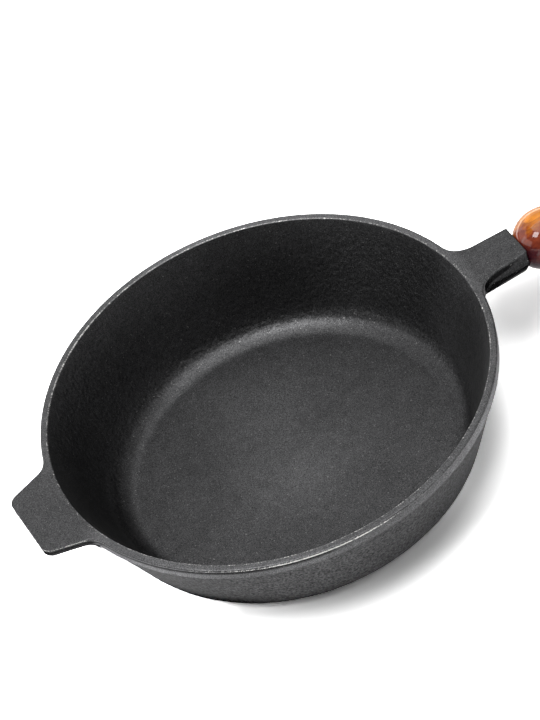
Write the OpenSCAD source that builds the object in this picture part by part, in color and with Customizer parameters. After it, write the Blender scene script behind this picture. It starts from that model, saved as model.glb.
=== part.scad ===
// Deep cast iron pan with a helper tab, a handle boss and a turned wooden grip.
// The origin is the centre of the base. +X runs along the handle and +Z is up.

/* [Bowl] */
// Outer diameter of the rim
rim_d = 240; // [200:1:300]
// Height from the base to the top of the rim
pan_h = 60; // [52:1:75]
// Thickness of the wall, square to the wall
wall_t = 5.2; // [4:0.1:6.5]
// Thickness of the floor
floor_t = 5; // [4:0.1:7]
// Lean of the wall from upright, in degrees
wall_lean = 23; // [12:0.5:28]
// Outer radius where the wall turns into the base
corner_r = 20; // [14:0.5:26]
// Height of the lip round the rim
lip_h = 7; // [5:0.5:9]
// How far the lip stands out from the wall under it
lip_out = 1.2; // [0.6:0.1:2.5]

/* [Helper tab] */
// How far the tab reaches past the rim
tab_reach = 21.2; // [15:0.5:35]
// Width of the tab across its outer edge
tab_end_w = 43.6; // [34:0.5:60]
// Angle by which each side of the tab spreads towards the rim
tab_flare = 18; // [8:0.5:25]
// Radius of the tab's outer corners
tab_corner_r = 6.5; // [3:0.5:10]
// Radius where the tab's sides run into the rim
tab_root_r = 12; // [6:0.5:18]
// Thickness of the tab
tab_t = 5; // [4:0.1:5]

/* [Handle boss] */
// How far the boss reaches past the rim
boss_reach = 30; // [22:0.5:40]
// Width of the boss across its end
boss_end_w = 21.8; // [19:0.1:28]
// Angle by which each side of the boss spreads towards the rim
boss_flare = 3; // [0:0.5:6]
// Depth of the boss below the rim
boss_h = 18.5; // [17:0.5:24]
// Width of the flat under the boss
boss_under_w = 11.2; // [9:0.1:16]
// Radius of the boss's outer corners
boss_corner_r = 1; // [0.5:0.1:2]
// Radius where the boss's sides run into the rim
boss_root_r = 13.5; // [6:0.5:18]
// Depth of the tapped hole in the boss
tap_depth = 20; // [14:0.5:24]

/* [Tie rod] */
// Diameter of the rod's threaded ends
rod_d = 8; // [6:0.5:8]
// Diameter of the rod between its threads
shank_d = 7; // [5:0.1:7]
// Length of the thread at the grip's tail
tail_thread = 22; // [18:0.5:30]
// Depth of the rod's axis below the rim
rod_drop = 9.3; // [8.5:0.1:11]
// Gap round a thread in its tapped hole
thread_gap = 0.05; // [0.01:0.01:0.1]
// Gap round the rod in the wood and in the cap
rod_gap = 0.25; // [0.1:0.05:0.5]

/* [Wooden grip] */
// Length of the grip from the boss to the cap
grip_len = 140; // [125:1:170]
// Diameter of the flat that seats on the boss
seat_d = 17; // [14:0.5:18]
// Diameter of the round bulb next to the boss
bulb_d = 32; // [26:0.5:38]
// Distance from the boss to the bulb's widest place
bulb_at = 15; // [12:0.5:18]
// Diameter of the neck behind the bulb
neck_d = 21; // [16:0.5:25]
// Distance from the boss to the neck
neck_at = 39; // [32:0.5:46]
// Diameter of the belly that the palm holds
belly_d = 30; // [25:0.5:36]
// Distance from the boss to the belly's widest place
belly_at = 92; // [75:1:105]
// Diameter at the tail, where the cap sits flush
tail_d = 22.4; // [20:0.1:26]
// Length of the turned spigot inside the cap
spigot_len = 6; // [4:0.5:9]

/* [End cap] */
// Thickness of the cap's side
cap_side_t = 1.6; // [1.2:0.1:2]
// Thickness of the cap's end
cap_end_t = 2; // [1.5:0.1:3]
// Diameter of the cap's end face
cap_end_d = 20; // [18:0.5:22]
// Gap between the spigot and the cap
cap_gap = 0.2; // [0.1:0.05:0.4]

/* [Eye nut] */
// Diameter of the flange that presses on the cap
flange_d = 16; // [14:0.5:17]
// Thickness of the flange
flange_t = 2.5; // [2:0.1:4]
// Diameter of the nut's barrel
barrel_d = 12.5; // [11:0.1:14]
// Length of the barrel behind the flange
barrel_len = 8; // [7:0.5:12]
// Outer diameter of the eye
eye_d = 14; // [11:0.5:16]
// Thickness of the eye
eye_t = 5; // [3:0.5:6]
// Diameter of the hole through the eye
eye_hole_d = 5; // [4.8:0.1:6]

/* [Hanging ring] */
// Diameter of the ring's wire
wire_d = 4; // [3:0.1:4]
// Diameter of the ring across the middle of its wire
ring_d = 34; // [32:0.5:44]

/* [Hidden] */
$fn = 96;
// Overrun of a cut past the surface that it leaves
cut = 1;
// Extra radius that lets an arc cross its two edges cleanly instead of only touching them
arc_bite = 0.02;
// Number of straight steps along the grip's turned outline
grip_steps = 56;
// Depth of the chamfer on the rod's ends
rod_chamfer = 0.8;
// Depth of the drill point below the rod in the boss
drill_clear = 1.5;
// Thread that the rod is short of the bottom of the nut
nut_clear = 1;

rim_r = rim_d / 2;
lean_share = tan(wall_lean);
wall_level = wall_t / cos(wall_lean);
wall_top_r = rim_r - lip_out;
lip_z = pan_h - lip_h;
base_corner_r = wall_top_r - lip_z * lean_share;
mouth_r = wall_top_r + lip_h * lean_share - wall_level;
floor_corner_r = mouth_r - (pan_h - floor_t) * lean_share;
inner_corner_r = corner_r - wall_t;

rod_z = pan_h - rod_drop;
boss_end_x = rim_r + boss_reach;
cap_x = boss_end_x + grip_len;
cap_inner_len = spigot_len + cap_gap;
cap_len = cap_inner_len + cap_end_t;
nut_x = cap_x + cap_len;
nut_len = flange_t + barrel_len;
eye_x = nut_x + nut_len + eye_d / 2;
nut_bore_len = nut_len - nut_clear;

// The unit vector along v.
function unit(v) = v / norm(v);

// The distance along a line from p in direction d to its first crossing of a circle about the origin.
function to_circle(p, d, r) = -(p * d) - sqrt(pow(p * d, 2) - p * p + r * r);

// The small piece between two straight edges, from p towards a and towards b, and an arc of
// radius r that touches both. Taken away it rounds an outer corner, and added it fills an inner one.
module corner_piece(p, a, b, r) {
    u = unit(a - p);
    v = unit(b - p);
    half = acos(u * v) / 2;
    reach = r / tan(half);
    middle = unit(u + v);
    centre = p + middle * r / sin(half);
    difference() {
        polygon([p - middle * cut, p + u * reach, centre, p + v * reach]);
        translate(centre) circle(r + arc_bite);
    }
}

// The outline of a lug that runs from the bowl along +X, with rounded outer corners and
// with arcs where its sides meet the rim.
module lug_outline(reach, end_w, flare, end_r, root_r) {
    tip = [rim_r + reach, end_w / 2];
    run = [-cos(flare), sin(flare)];
    out = [sin(flare), cos(flare)];
    inner = tip + run * (reach + rim_r - mouth_r);
    arc = tip + out * root_r;
    arc_centre = arc + run * to_circle(arc, run, rim_r + root_r);
    line_touch = arc_centre - out * root_r;
    rim_touch = arc_centre * rim_r / (rim_r + root_r);
    notch = tip + run * to_circle(tip, run, rim_r) - out * cut;
    difference() {
        polygon([tip, inner, [inner.x, -inner.y], [tip.x, -tip.y]]);
        for (side = [0, 1]) mirror([0, side]) corner_piece(tip, [tip.x, 0], inner, end_r);
    }
    for (side = [0, 1]) mirror([0, side]) difference() {
        polygon([line_touch, arc_centre, rim_touch, notch]);
        translate(arc_centre) circle(root_r + arc_bite);
    }
}

// Half of the outer section of the bowl, with the lip at the top.
module outer_section() {
    corner = [base_corner_r, 0];
    under_lip = [wall_top_r, lip_z];
    difference() {
        polygon([[0, 0], corner, under_lip, [rim_r, lip_z], [rim_r, pan_h], [0, pan_h]]);
        corner_piece(corner, [0, 0], under_lip, corner_r);
    }
}

// Half of the section of the space inside the bowl, run on above the rim.
module inner_section() {
    corner = [floor_corner_r, floor_t];
    mouth = [mouth_r, pan_h];
    above = [mouth_r + cut * lean_share, pan_h + cut];
    difference() {
        polygon([[0, floor_t], corner, mouth, above, [0, pan_h + cut]]);
        corner_piece(corner, [0, floor_t], mouth, inner_corner_r);
    }
}

// The flat tab opposite the handle, level with the rim.
module helper_tab() {
    translate([0, 0, pan_h - tab_t]) linear_extrude(tab_t) mirror([1, 0])
        lug_outline(tab_reach, tab_end_w, tab_flare, tab_corner_r, tab_root_r);
}

// The boss that carries the handle: flat on top, with two slanting faces under it.
module handle_boss() {
    half_w = boss_end_w / 2 + boss_reach * tan(boss_flare);
    wide = half_w + boss_root_r + lip_h;
    intersection() {
        translate([0, 0, pan_h - boss_h]) linear_extrude(boss_h)
            lug_outline(boss_reach, boss_end_w, boss_flare, boss_corner_r, boss_root_r);
        translate([mouth_r - boss_reach, 0, pan_h]) rotate([90, 0, 90])
            linear_extrude(boss_end_x - mouth_r + boss_reach + cut)
                polygon([
                    [-wide, cut], [-wide, -lip_h], [-half_w, -lip_h], [-boss_under_w / 2, -boss_h],
                    [boss_under_w / 2, -boss_h], [half_w, -lip_h], [wide, -lip_h], [wide, cut]
                ]);
    }
}

// A round bar along +X from x0, at the height of the tie rod.
module bar_x(x0, len, r) {
    translate([x0, 0, rod_z]) rotate([0, 90, 0]) cylinder(h = len, r = r);
}

module pan_casting() {
    color("#3b3b3d") difference() {
        union() {
            rotate_extrude() outer_section();
            helper_tab();
            handle_boss();
        }
        rotate_extrude() inner_section();
        bar_x(boss_end_x - tap_depth - drill_clear, tap_depth + drill_clear + cut, rod_d / 2 + thread_gap);
    }
}

// The steel rod that clamps the grip: its front thread screws into the boss, its rear one into the nut.
module tie_rod() {
    x0 = boss_end_x - tap_depth;
    x1 = nut_x + nut_bore_len - nut_clear;
    r = rod_d / 2;
    color("#9a9ca0") translate([0, 0, rod_z]) rotate([0, 90, 0]) rotate_extrude() polygon([
        [0, x0], [r - rod_chamfer, x0], [r, x0 + rod_chamfer], [r, boss_end_x], [shank_d / 2, boss_end_x],
        [shank_d / 2, x1 - tail_thread], [r, x1 - tail_thread], [r, x1 - rod_chamfer],
        [r - rod_chamfer, x1], [0, x1]
    ]);
}

// A smooth turn of the outline from radius a to radius b, t running from 0 to 1.
function swell(a, b, t) = (a + b) / 2 + (a - b) / 2 * cos(180 * t);

// Length of the bulb's nose, as the ellipse that leaves the seat's flat at the boss.
bulb_nose = bulb_at / sqrt(1 - pow(seat_d / bulb_d, 2));

// The grip's radius at a distance x from the boss.
function grip_r(x) =
    x < bulb_at ? bulb_d / 2 * sqrt(1 - pow((bulb_at - x) / bulb_nose, 2))
    : x < neck_at ? swell(bulb_d / 2, neck_d / 2, (x - bulb_at) / (neck_at - bulb_at))
    : x < belly_at ? swell(neck_d / 2, belly_d / 2, (x - neck_at) / (belly_at - neck_at))
    : swell(belly_d / 2, tail_d / 2, (x - belly_at) / (grip_len - belly_at));

module wooden_grip() {
    spigot_r = tail_d / 2 - cap_side_t - cap_gap;
    end_x = grip_len + spigot_len;
    bore_r = rod_d / 2 + rod_gap;
    outline = [for (i = [0:grip_steps]) let (x = grip_len * i / grip_steps) [grip_r(x), x]];
    color("#9c4f2c") translate([boss_end_x, 0, rod_z]) rotate([0, 90, 0]) rotate_extrude()
        polygon(concat(
            [[bore_r, 0]], outline, [[spigot_r, grip_len], [spigot_r, end_x], [bore_r, end_x]]
        ));
}

// The steel cup that covers the end grain and spreads the nut's load.
module end_cap() {
    r = tail_d / 2;
    inner_r = r - cap_side_t;
    hole_r = rod_d / 2 + rod_gap;
    color("#b4b6ba") translate([cap_x, 0, rod_z]) rotate([0, 90, 0]) rotate_extrude() polygon([
        [inner_r, 0], [r, 0], [r, cap_inner_len], [cap_end_d / 2, cap_len], [hole_r, cap_len],
        [hole_r, cap_inner_len], [inner_r, cap_inner_len]
    ]);
}

// The nut on the rod's rear thread, with a flat eye for the hanging ring.
module eye_nut() {
    color("#a9abaf") difference() {
        union() {
            bar_x(nut_x, flange_t, flange_d / 2);
            bar_x(nut_x, nut_len, barrel_d / 2);
            translate([eye_x, eye_t / 2, rod_z]) rotate([90, 0, 0]) cylinder(h = eye_t, r = eye_d / 2);
            translate([nut_x + nut_len - cut, -eye_t / 2, rod_z - barrel_d / 4])
                cube([eye_d / 2 + cut - eye_hole_d / 2, eye_t, barrel_d / 2]);
        }
        bar_x(nut_x - cut, nut_bore_len + cut, rod_d / 2 + thread_gap);
        translate([eye_x, eye_t / 2 + cut, rod_z]) rotate([90, 0, 0])
            cylinder(h = eye_t + 2 * cut, r = eye_hole_d / 2);
    }
}

// The round ring, hanging straight down through the eye.
module hanging_ring() {
    color("#b9bbbf") translate([eye_x, 0, rod_z - ring_d / 2]) rotate([0, 90, 0])
        rotate_extrude() translate([ring_d / 2, 0]) circle(wire_d / 2);
}

pan_casting();
tie_rod();
wooden_grip();
end_cap();
eye_nut();
hanging_ring();
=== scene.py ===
"""Dresses the deep cast iron pan: sand-cast body, turned grip and steel fittings, on a pale floor."""

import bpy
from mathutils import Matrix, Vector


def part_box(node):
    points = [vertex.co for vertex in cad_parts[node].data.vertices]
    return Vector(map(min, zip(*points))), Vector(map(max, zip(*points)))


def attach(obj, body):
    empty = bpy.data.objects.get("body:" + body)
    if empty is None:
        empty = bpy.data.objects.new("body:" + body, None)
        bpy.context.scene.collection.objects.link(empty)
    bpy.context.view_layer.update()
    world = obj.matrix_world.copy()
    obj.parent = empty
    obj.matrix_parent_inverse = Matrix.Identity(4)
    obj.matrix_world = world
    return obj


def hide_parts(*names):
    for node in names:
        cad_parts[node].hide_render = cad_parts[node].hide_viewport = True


bl_info = {
    "name": "Deep cast iron pan",
    "version": (1, 0, 0),
    "blender": (4, 5, 0),
    "location": "View3D > Sidebar > Pan",
    "description": "Builds the finished surfaces of a deep cast iron pan with a turned wooden grip",
    "category": "Add Mesh",
}

import math
from collections import namedtuple

import bmesh
import bpy
import numpy as np
from bpy.props import FloatProperty, FloatVectorProperty, IntProperty, PointerProperty
from mathutils import Matrix, Vector, noise

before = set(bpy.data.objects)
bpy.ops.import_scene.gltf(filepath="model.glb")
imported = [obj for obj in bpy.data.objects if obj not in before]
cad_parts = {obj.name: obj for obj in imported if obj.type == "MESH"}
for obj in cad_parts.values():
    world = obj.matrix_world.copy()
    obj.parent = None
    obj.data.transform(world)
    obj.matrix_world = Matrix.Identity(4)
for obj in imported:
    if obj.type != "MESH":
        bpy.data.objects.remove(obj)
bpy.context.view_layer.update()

MM = 0.001

casting_low, casting_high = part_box("pan_casting")
grip_low, grip_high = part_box("wooden_grip")
rod_low, rod_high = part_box("tie_rod")
cap_low, cap_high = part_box("end_cap")
nut_low, nut_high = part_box("eye_nut")
ring_low, ring_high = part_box("hanging_ring")
rod_axis_z = (rod_low.z + rod_high.z) / 2


# Settings that a user would change

def length(name, description, default):
    """A length property in metres."""
    return FloatProperty(name=name, description=description, default=default, precision=5, unit="LENGTH")


def number(name, description, default):
    """A plain number property."""
    return FloatProperty(name=name, description=description, default=default)


def angle(name, description, degrees):
    """An angle property, whose default is given in degrees."""
    return FloatProperty(name=name, description=description, default=math.radians(degrees), subtype="ANGLE")


def colour(name, description, default):
    """A colour property."""
    return FloatVectorProperty(name=name, description=description, default=default, size=3, subtype="COLOR")


class PanCastingSettings(bpy.types.PropertyGroup):
    """Sizes and finish of the one-piece iron casting."""

    rim_r: length("Rim radius", "Outer radius of the rim", casting_high.y)
    height: length("Height", "Height from the base to the top of the rim", casting_high.z)
    wall_t: length("Wall", "Thickness of the wall", 5.2 * MM)
    floor_t: length("Floor", "Thickness of the floor", 5 * MM)
    wall_lean: angle("Wall lean", "Lean of the wall from upright", 23)
    corner_r: length("Base corner", "Outer radius where the wall turns into the base", 20 * MM)
    lip_h: length("Lip height", "Height of the lip round the rim", 7 * MM)
    lip_out: length("Lip reach", "How far the lip stands out from the wall", 1.2 * MM)
    tab_end_w: length("Tab width", "Width of the helper tab across its outer edge", 43.6 * MM)
    tab_flare: angle("Tab flare", "Spread of each side of the tab towards the rim", 18)
    tab_corner_r: length("Tab corner", "Radius of the tab's outer corners", 6.5 * MM)
    tab_root_r: length("Tab root", "Radius where the tab runs into the rim", 12 * MM)
    tab_t: length("Tab thickness", "Thickness of the tab", 5 * MM)
    boss_end_w: length("Boss width", "Width of the handle boss across the top of its end", 21.8 * MM)
    boss_flare: angle("Boss flare", "Spread of each side of the boss towards the rim", 3)
    boss_h: length("Boss depth", "Depth of the boss below the rim", 18.5 * MM)
    boss_under_w: length("Boss underside", "Width of the flat under the boss", 11.2 * MM)
    boss_corner_r: length("Boss corner", "Radius of the boss's outer corners", 1 * MM)
    boss_root_r: length("Boss root", "Radius where the boss runs into the rim", 13.5 * MM)
    tap_r: length("Tapped hole", "Radius of the tapped hole in the boss", 4.05 * MM)
    tap_depth: length("Tapped depth", "Depth of the tapped hole", 21.5 * MM)
    arris_r: length("Arris", "Rounding of the ground edges of the rim", 1 * MM)
    mismatch: length("Mould mismatch", "Most that the two mould halves are out of line", 0.45 * MM)
    waviness: length("Waviness", "Depth of the slow unevenness of the sand-cast skin", 0.12 * MM)
    iron: colour("Iron", "Colour of the seasoned iron", (0.083, 0.083, 0.085))
    bare_metal: colour("Bare metal", "Colour of the iron where its edges are rubbed", (0.75, 0.74, 0.72))
    grain_size: length("Grain", "Size of the sand grain in the skin", 0.9 * MM)


class WoodenGripSettings(bpy.types.PropertyGroup):
    """Turned outline and finish of the wooden grip."""

    seat_r: length("Seat radius", "Radius of the flat that seats on the boss", 8.5 * MM)
    bulb_r: length("Bulb radius", "Radius of the round bulb next to the boss", 16 * MM)
    bulb_at: length("Bulb place", "Distance from the boss to the bulb's widest place", 15 * MM)
    neck_r: length("Neck radius", "Radius of the neck behind the bulb", 10.5 * MM)
    neck_at: length("Neck place", "Distance from the boss to the neck", 39 * MM)
    belly_r: length("Belly radius", "Radius of the belly that the palm holds", 15 * MM)
    belly_at: length("Belly place", "Distance from the boss to the belly's widest place", 92 * MM)
    tail_r: length("Tail radius", "Radius at the tail, flush with the cap", 11.2 * MM)
    length: length("Length", "Length of the grip from the boss to the cap", cap_low.x - grip_low.x)
    spigot_r: length("Spigot radius", "Radius of the spigot inside the cap", 9.4 * MM)
    bore_r: length("Bore radius", "Radius of the bore for the tie rod", 4.25 * MM)
    # Painted light and shade: the orange goes on the grip's lit upper side, and the dark also on its shaded
    # underside and by the boss, besides the real late growth and pores.
    wood_orange_lit_top: colour("Light wood", "Colour of the outer wood, on the upper side", (0.80, 0.27, 0.02))
    wood_mid: colour("Red wood", "Main colour of the stained wood", (0.26, 0.048, 0.018))
    wood_dark_and_shade: colour("Dark wood", "Colour of the heartwood and of the late growth", (0.040, 0.007, 0.016))
    steps_round: IntProperty(name="Steps round", description="Number of steps round the grip", default=144)


class SteelFittingSettings(bpy.types.PropertyGroup):
    """Sizes and finish of the rod, cap, nut and ring."""

    rod_r: length("Thread radius", "Outer radius of the rod's threads", 4 * MM)
    shank_r: length("Shank radius", "Radius of the rod between its threads", 3.5 * MM)
    tail_thread: length("Tail thread", "Length of the thread at the grip's tail", 22 * MM)
    pitch: length("Pitch", "Pitch of the rod's threads", 1.25 * MM)
    thread_depth: length("Thread depth", "Depth of the rod's threads", 0.68 * MM)
    cap_side_t: length("Cap side", "Thickness of the cap's side", 1.6 * MM)
    cap_end_t: length("Cap end", "Thickness of the cap's end", 2 * MM)
    cap_end_r: length("Cap end radius", "Radius of the cap's end face", 10 * MM)
    cap_hole_r: length("Cap hole", "Radius of the hole in the cap", 4.25 * MM)
    flange_r: length("Flange radius", "Radius of the nut's flange", 8 * MM)
    flange_t: length("Flange", "Thickness of the nut's flange", 2.5 * MM)
    barrel_r: length("Barrel radius", "Radius of the nut's barrel", 6.25 * MM)
    barrel_len: length("Barrel", "Length of the barrel behind the flange", 8 * MM)
    nut_bore_r: length("Nut bore", "Radius of the nut's threaded bore", 4.05 * MM)
    eye_r: length("Eye radius", "Outer radius of the nut's eye", 7 * MM)
    eye_t: length("Eye", "Thickness of the nut's eye", 5 * MM)
    eye_hole_r: length("Eye hole", "Radius of the hole through the eye", 2.5 * MM)
    wire_r: length("Wire radius", "Radius of the ring's wire", 2 * MM)
    steel: colour("Steel", "Colour of the polished steel", (0.62, 0.62, 0.61))


class StageSettings(bpy.types.PropertyGroup):
    """Camera, floor and lamps."""

    azimuth: angle("Azimuth", "Direction of the camera round the pan, from -Y towards +X", -12.455)
    elevation: angle("Elevation", "Height of the camera above the horizon", 44.849)
    roll: angle("Roll", "Turn of the camera about its own line of sight", -21.537)
    distance: length("Distance", "Distance from the camera to the point it looks at", 2.2904)
    aim_x: length("Aim X", "Where the camera's line of sight meets the rim's level, along X", 10.0 * MM)
    aim_y: length("Aim Y", "Where the camera's line of sight meets the rim's level, along Y", 14.75 * MM)
    lens: number("Lens", "Focal length in millimetres", 225.0)
    floor_colour: colour("Floor", "Colour of the floor", (0.86, 0.86, 0.86))
    floor_lift: number("Floor lift", "How much brighter the camera sees the open floor", 3.2)
    shadow_lift: number("Shadow lift", "The same lift where the pan's shadow falls", 1.0)
    mirror_lift: number("Mirror lift", "How much brighter metal and lacquer see the floor", 1.25)
    light: number("Light", "Strength of all the softboxes together", 1.0)
    horizon: number("Horizon", "Strength of the white backdrop along the horizon", 1.54)
    ceiling: number("Ceiling", "Strength of the even light from overhead", 0.0)


# Outline of the casting in plan

Lug = namedtuple("Lug", "end_x end_half flare end_r root_r")

BOSS_STEPS = (11, 6, 24, 15)
TAB_STEPS = (16, 10, 14, 14)
RIM_STEPS = 250
BOSS_ANGLE_SHARES = (0, 0.22, 0.27, 0.52, 1)
TAB_ANGLE_SHARES = (0, 0.5, 0.66, 0.82, 1)
COLUMNS = 2 * (sum(BOSS_STEPS) + RIM_STEPS + sum(TAB_STEPS))


def stepped(values, steps):
    """Runs through the values, with that many even steps between each pair."""
    parts = [np.linspace(a, b, n, endpoint=False) for a, b, n in zip(values, values[1:], steps)]
    return np.concatenate(parts + [[values[-1]]])


def on_circle(angles, radius=1.0):
    """Points in plan on a circle about the origin."""
    return radius * np.stack([np.cos(angles), np.sin(angles)], axis=-1)


def lug_root(base_r, lug):
    """Centre of the arc that joins the lug's side to the circle of the bowl."""
    run = np.array([-math.cos(lug.flare), math.sin(lug.flare)])
    out = np.array([math.sin(lug.flare), math.cos(lug.flare)])
    start = np.array([lug.end_x, lug.end_half]) + out * lug.root_r
    along = start @ run
    reach = -along - math.sqrt(along ** 2 - start @ start + (base_r + lug.root_r) ** 2)
    return start + run * reach


def lug_angle(base_r, lug):
    """Angle from the lug's middle to where its root arc meets the circle of the bowl."""
    centre = lug_root(base_r, lug)
    return math.atan2(centre[1], centre[0])


def lug_side(base_r, lug, steps):
    """Half of a lug's outline, from the middle of its end to the bowl: points and outward normals."""
    side_angle = math.pi / 2 - lug.flare
    out = on_circle(side_angle)
    root = lug_root(base_r, lug)
    corner_y = lug.end_half - lug.end_r * (1 - math.sin(lug.flare)) / math.cos(lug.flare)
    corner = np.array([lug.end_x - lug.end_r, corner_y])
    end_n, corner_n, side_n, root_n = steps

    end_y = np.linspace(0, corner_y, end_n, endpoint=False)
    end_points = np.stack([np.full(end_n, lug.end_x), end_y], axis=-1)
    corner_normals = on_circle(np.linspace(0, side_angle, corner_n, endpoint=False))
    side_start = corner + lug.end_r * out
    side_end = root - lug.root_r * out
    side_points = side_start + np.outer(np.linspace(0, 1, side_n, endpoint=False), side_end - side_start)
    root_normals = on_circle(np.linspace(side_angle, math.atan2(root[1], root[0]), root_n + 1))
    corner_points = corner + lug.end_r * corner_normals
    points = [end_points, corner_points, side_points, root - lug.root_r * root_normals]
    normals = [np.tile([1.0, 0.0], (end_n, 1)), corner_normals, np.tile(out, (side_n, 1)), root_normals]
    return np.concatenate(points), np.concatenate(normals)


def lug_or_rim(base_r, lug, steps, rim_angles):
    """Points and normals of half a lug, or of the bare rim in its place, and the angle where it ends."""
    if lug is None:
        normals = on_circle(rim_angles)
        return base_r * normals, normals, rim_angles[-1]
    return (*lug_side(base_r, lug, steps), lug_angle(base_r, lug))


class Plan:
    """Draws the casting's outline at any level, always with the same columns round it."""

    def __init__(self, rim_r, boss, tab):
        boss_end, tab_end = lug_angle(rim_r, boss), lug_angle(rim_r, tab)
        self.boss_angles = stepped([k * boss_end for k in BOSS_ANGLE_SHARES], BOSS_STEPS)
        self.tab_angles = stepped([k * tab_end for k in TAB_ANGLE_SHARES], TAB_STEPS)
        rim_angles = np.linspace(boss_end, math.pi - tab_end, RIM_STEPS + 1)[1:-1]
        half = np.concatenate([self.boss_angles, rim_angles, math.pi - self.tab_angles[::-1]])
        self.angles = np.concatenate([half, 2 * math.pi - half[-2:0:-1]])

    def whole(self, base_r, boss, tab=None):
        """The closed outline, anticlockwise from the boss's middle, and each point's way inwards."""
        boss_points, boss_normals, boss_end = lug_or_rim(base_r, boss, BOSS_STEPS, self.boss_angles)
        tab_points, tab_normals, tab_end = lug_or_rim(base_r, tab, TAB_STEPS, self.tab_angles)
        rim_normals = on_circle(np.linspace(boss_end, math.pi - tab_end, RIM_STEPS + 1)[1:-1])
        turned_round, mirrored = np.array([-1, 1]), np.array([1, -1])
        points = np.concatenate([boss_points, base_r * rim_normals, tab_points[::-1] * turned_round])
        normals = np.concatenate([boss_normals, rim_normals, tab_normals[::-1] * turned_round])
        outline = np.concatenate([points, points[-2:0:-1] * mirrored])
        return outline, -np.concatenate([normals, normals[-2:0:-1] * mirrored])


EVEN_ANGLES = np.linspace(0, 2 * math.pi, COLUMNS, endpoint=False)


def angles_of(plan_points):
    """Angles of a ring's points about the middle of the bowl, running up from 0."""
    return np.unwrap(np.arctan2(plan_points[:, 1], plan_points[:, 0]))


def from_axis(points):
    """How far each point lies from the bowl's axis."""
    return np.linalg.norm(points[:, :2], axis=1)


def onto_circle(plan_points, radius):
    """Moves points in plan straight out or in to a circle about the middle of the bowl."""
    return plan_points * (radius / from_axis(plan_points))[:, None]


def raised(plan_points, z):
    """Points in plan raised to the height z, which may differ from point to point."""
    heights = np.broadcast_to(np.asarray(z, float), (len(plan_points),))
    return np.column_stack([plan_points, heights])


def smooth(t):
    """An even turn from 0 to 1."""
    t = np.clip(t, 0, 1)
    return t * t * (3 - 2 * t)


def past(value, start, run):
    """An even turn from 0 to 1 of a value in metres. Its start and its run are in millimetres."""
    return smooth((value - start * MM) / (run * MM))


def bell(t):
    """1 where t is 0, and next to nothing from 2 on."""
    return np.exp(-t ** 2)


# Surfaces of the casting, each a list of closed rings of points

FILLET_STEPS = 14
FLAT_SHARES = (0.93, 0.985)
FACE_SHARES = (0.06, 0.2, 0.36, 0.52, 0.68, 0.83, 0.95)
MOUTH_ARRIS_SHARE = 0.9
LUG_ARRIS_LOSS_SHARE = 0.55

# Each step down the parting line: millimetres below the arris, and its share of the mismatch
PARTING_SHARES = ((0.25, 0.05), (0.5, 0.6), (0.75, 1.1), (1.05, 1.0), (1.7, 0.9))

TAB_EDGE_R = 0.9 * MM
TAB_FILLET_R = 1.6 * MM
BOSS_EDGE_R = 1.5 * MM
BOSS_FILLET_R = 4 * MM
BOSS_ROOT_LOSS_SHARE = 0.45
BOSS_CORNER_GAIN = 2.2 * MM
BELOW_TAB_FILLET = 1.8 * MM
BELOW_BOSS_FILLET = 4.8 * MM
LIP_SOFTNESS = 1.1 * MM
LEAST_REACH = 0.3 * MM
UNDER_TAB_SHARES = (0.04, 0.2, 0.4, 0.6, 0.8, 0.96)
UNDER_BOSS_SHARES = (0.1, 0.35, 0.65, 0.9, 1.0)

# Where the drag half of the mould has slipped to, in plan, and the share that shows all round
SLIP_WAY = np.array([0.35, -0.94])
SLIP_SHARE = 0.35

# How far the edges of the mouth and of the rim are rubbed bare, ring by ring; the rubbing also stands in
# for their glint
MOUTH_WEAR_SHARES = (0.3, 0.8, 1.0, 1.0, 0.8, 0.2)
ARRIS_WEAR_SHARES = (0.0, 0.0, 0.3, 1.0, 1.0, 0.8, 0.3, 0.0)

DISC_STEP_SHARE = 0.74
FEWEST_COLUMNS = 30
LONG_WAVE = 17 * MM
SHORT_WAVE = 6 * MM


def section_fillet(corner, before, after, radius, steps):
    """Points of the arc of this radius that rounds a corner of a section between two directions."""
    u = before / np.linalg.norm(before)
    v = after / np.linalg.norm(after)
    half = math.acos(u @ v) / 2
    middle = (u + v) / np.linalg.norm(u + v)
    centre = corner + middle * radius / math.sin(half)
    start = corner + u * radius / math.tan(half) - centre
    stop = corner + v * radius / math.tan(half) - centre
    a = math.atan2(start[1], start[0])
    sweep = (math.atan2(stop[1], stop[0]) - a + math.pi) % (2 * math.pi) - math.pi
    angles = a + sweep * np.linspace(0, 1, steps + 1)
    return centre + on_circle(angles, radius)


class CastingForm:
    """The levels and sections that all the casting's rings follow."""

    def __init__(self, s):
        self.s = s
        self.lean = math.tan(s.wall_lean)
        self.wall_top_r = s.rim_r - s.lip_out
        self.lip_z = s.height - s.lip_h
        self.base_corner_r = self.wall_top_r - self.lip_z * self.lean
        self.mouth_r = self.wall_top_r + s.lip_h * self.lean - s.wall_t / math.cos(s.wall_lean)
        self.floor_corner_r = self.mouth_r - (s.height - s.floor_t) * self.lean
        self.tab = Lug(-casting_low.x, s.tab_end_w / 2, s.tab_flare, s.tab_corner_r, s.tab_root_r)
        self.boss_root_half = s.boss_end_w / 2 + (casting_high.x - s.rim_r) * math.tan(s.boss_flare)
        self.boss_low = s.height - s.boss_h
        self.plan = Plan(s.rim_r, self.boss_at(s.height), self.tab)

    def wall_r(self, z):
        """Outer radius of the wall at the height z, above the base corner."""
        return self.base_corner_r + z * self.lean

    def boss_at(self, z):
        """The boss's outline at the height z. Its sides are upright at first and then slant inwards."""
        s = self.s
        low_share = max(self.lip_z - z, 0) / (self.lip_z - self.boss_low)
        root_half = self.boss_root_half - low_share * (self.boss_root_half - s.boss_under_w / 2)
        end_half = min(s.boss_end_w / 2, root_half)
        flare = math.atan((root_half - end_half) / (casting_high.x - s.rim_r))
        root_r = s.boss_root_r * (1 - BOSS_ROOT_LOSS_SHARE * low_share)
        corner_r = s.boss_corner_r + BOSS_CORNER_GAIN * low_share
        return Lug(casting_high.x, end_half, flare, corner_r, root_r)


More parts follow.
